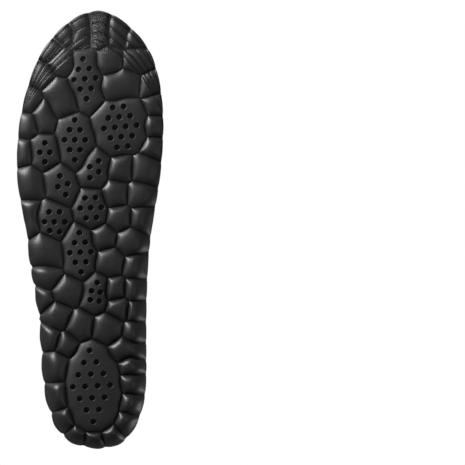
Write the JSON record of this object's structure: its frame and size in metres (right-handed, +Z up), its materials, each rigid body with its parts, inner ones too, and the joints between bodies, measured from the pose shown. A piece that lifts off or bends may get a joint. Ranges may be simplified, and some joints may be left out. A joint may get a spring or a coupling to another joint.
{
  "type": "cushioned insole",
  "caption": "Right-foot shoe insole: honeycomb knit cover over foam, cupped heel and arch, cobbled cushioning sole with perforated pads",
  "frame": {"origin": "centre of the footprint, on the floor that the sole lies on", "axes": "+Z up through the cover, +Y towards the toe, +X towards the outer side of the foot"},
  "size_m": [0.0932, 0.2802, 0.023],
  "materials": {
    "cover": "matte honeycomb knit",
    "foam": "matte open-cell foam",
    "cushion": "satin moulded foam skin",
    "pad": "fine-grained moulded foam"
  },
  "bodies": {
    "heel": {"cover_heel": "cover", "foam_heel": "foam", "cushion_heel": "cushion", "pad_heel": "pad"},
    "waist": {"cover_waist": "cover", "foam_waist": "foam", "cushion_waist": "cushion", "pad_waist": "pad"},
    "arch": {"cover_arch": "cover", "foam_arch": "foam", "cushion_arch": "cushion", "pad_arch": "pad"},
    "ball_rear": {"cover_ball_rear": "cover", "foam_ball_rear": "foam", "cushion_ball_rear": "cushion", "pad_outer_rear": "pad", "pad_centre": "pad", "pad_outer_mid": "pad"},
    "ball_front": {"cover_ball_front": "cover", "foam_ball_front": "foam", "cushion_ball_front": "cushion", "pad_ball_rear": "pad", "pad_outer_front": "pad", "pad_ball_outer": "pad", "pad_ball_inner": "pad"},
    "toe": {"cover_toe": "cover", "foam_toe": "foam", "cushion_toe": "cushion", "pad_toe": "pad"},
    "tip": {"cover_tip": "cover", "foam_tip": "foam", "cushion_tip": "cushion"}
  },
  "joints": [
    {"name": "flex_heel_waist", "type": "hinge", "parent": "heel", "child": "waist", "pos_m": [0, -0.0704, 0.0135], "axis": [1, 0, 0], "range_deg": [0, 46], "stiffness_Nm_per_rad": 0.05},
    {"name": "flex_waist_arch", "type": "hinge", "parent": "waist", "child": "arch", "pos_m": [0, -0.032, 0.0128], "axis": [1, 0, 0], "range_deg": [0, 46], "stiffness_Nm_per_rad": 0.05},
    {"name": "flex_arch_ball_rear", "type": "hinge", "parent": "arch", "child": "ball_rear", "pos_m": [0, 0.0013, 0.01144], "axis": [1, 0, 0], "range_deg": [0, 42], "stiffness_Nm_per_rad": 0.05},
    {"name": "flex_ball_rear_ball_front", "type": "hinge", "parent": "ball_rear", "child": "ball_front", "pos_m": [0, 0.0333, 0.01017], "axis": [1, 0, 0], "range_deg": [0, 58], "stiffness_Nm_per_rad": 0.05},
    {"name": "flex_ball_front_toe", "type": "hinge", "parent": "ball_front", "child": "toe", "pos_m": [0, 0.0736, 0.00899], "axis": [1, 0, 0], "range_deg": [0, 50], "stiffness_Nm_per_rad": 0.05},
    {"name": "flex_toe_tip", "type": "hinge", "parent": "toe", "child": "tip", "pos_m": [0, 0.1152, 0.00721], "axis": [1, 0, 0], "range_deg": [0, 58], "stiffness_Nm_per_rad": 0.05}
  ]
}
